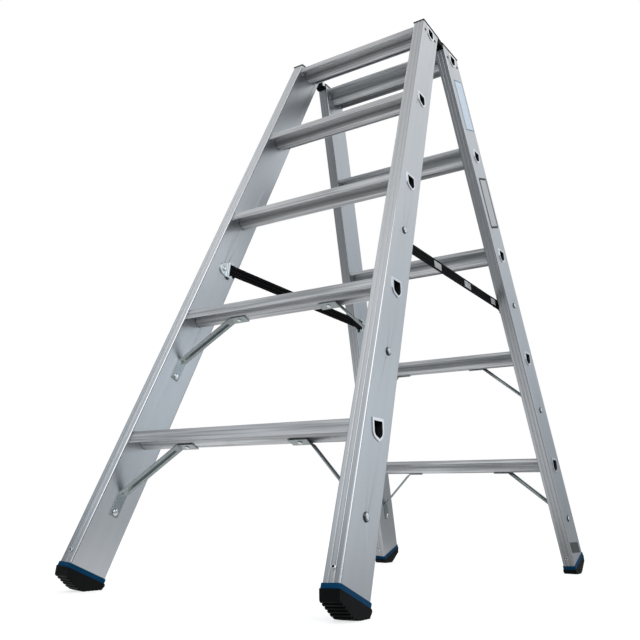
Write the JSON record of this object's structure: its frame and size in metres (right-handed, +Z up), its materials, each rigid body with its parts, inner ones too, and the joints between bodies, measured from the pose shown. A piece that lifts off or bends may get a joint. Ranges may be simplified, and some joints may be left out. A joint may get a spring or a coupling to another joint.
{
  "type": "trestle ladder",
  "caption": "Double-sided aluminium trestle ladder with flat treads, hinged at the top and held open by webbing straps, with braced lower steps and plastic feet.",
  "frame": {"origin": "middle of the footprint on the floor, ladder open", "axes": "X along the steps, front section towards -Y, rear section towards +Y, Z up"},
  "size_m": [0.5862, 1.1804, 1.3331],
  "materials": {
    "aluminium": "satin mill finish",
    "zinc_steel": "zinc plated",
    "rivet_steel": "zinc plated",
    "cap_plastic": "matt black",
    "sole_rubber": "matt black",
    "collar_plastic": "matt blue",
    "webbing": "woven black"
  },
  "bodies": {
    "front_section": {"front_left_stile": "aluminium", "front_right_stile": "aluminium", "front_step_1": "aluminium", "front_step_2": "aluminium", "front_step_3": "aluminium", "front_step_4": "aluminium", "front_step_5": "aluminium", "front_left_cap": "cap_plastic", "front_right_cap": "cap_plastic", "front_left_collar": "collar_plastic", "front_right_collar": "collar_plastic", "front_left_sole": "sole_rubber", "front_right_sole": "sole_rubber", "front_upper_left_brace": "zinc_steel", "front_upper_right_brace": "zinc_steel", "front_lower_left_brace": "zinc_steel", "front_lower_right_brace": "zinc_steel", "front_left_bracket": "zinc_steel", "front_right_bracket": "zinc_steel", "front_cap_rivets": "rivet_steel", "front_brace_rivets": "rivet_steel", "front_step_rivets": "rivet_steel", "front_strap_rivets": "rivet_steel", "front_foot_pins": "rivet_steel", "left_hinge_pin": "rivet_steel", "right_hinge_pin": "rivet_steel", "left_strap": "webbing", "right_strap": "webbing"},
    "rear_section": {"rear_left_stile": "aluminium", "rear_right_stile": "aluminium", "rear_step_1": "aluminium", "rear_step_2": "aluminium", "rear_step_3": "aluminium", "rear_step_4": "aluminium", "rear_step_5": "aluminium", "rear_left_cap": "cap_plastic", "rear_right_cap": "cap_plastic", "rear_left_collar": "collar_plastic", "rear_right_collar": "collar_plastic", "rear_left_sole": "sole_rubber", "rear_right_sole": "sole_rubber", "rear_upper_left_brace": "zinc_steel", "rear_upper_right_brace": "zinc_steel", "rear_lower_left_brace": "zinc_steel", "rear_lower_right_brace": "zinc_steel", "rear_left_bracket": "zinc_steel", "rear_right_bracket": "zinc_steel", "rear_cap_rivets": "rivet_steel", "rear_brace_rivets": "rivet_steel", "rear_step_rivets": "rivet_steel", "rear_strap_rivets": "rivet_steel", "rear_foot_pins": "rivet_steel"}
  },
  "joints": [
    {"name": "section_fold", "type": "hinge", "parent": "front_section", "child": "rear_section", "pos_m": [0, 0, 1.3251], "axis": [-1, 0, 0], "range_deg": [0, 41], "deforming": ["left_strap", "right_strap"]}
  ]
}
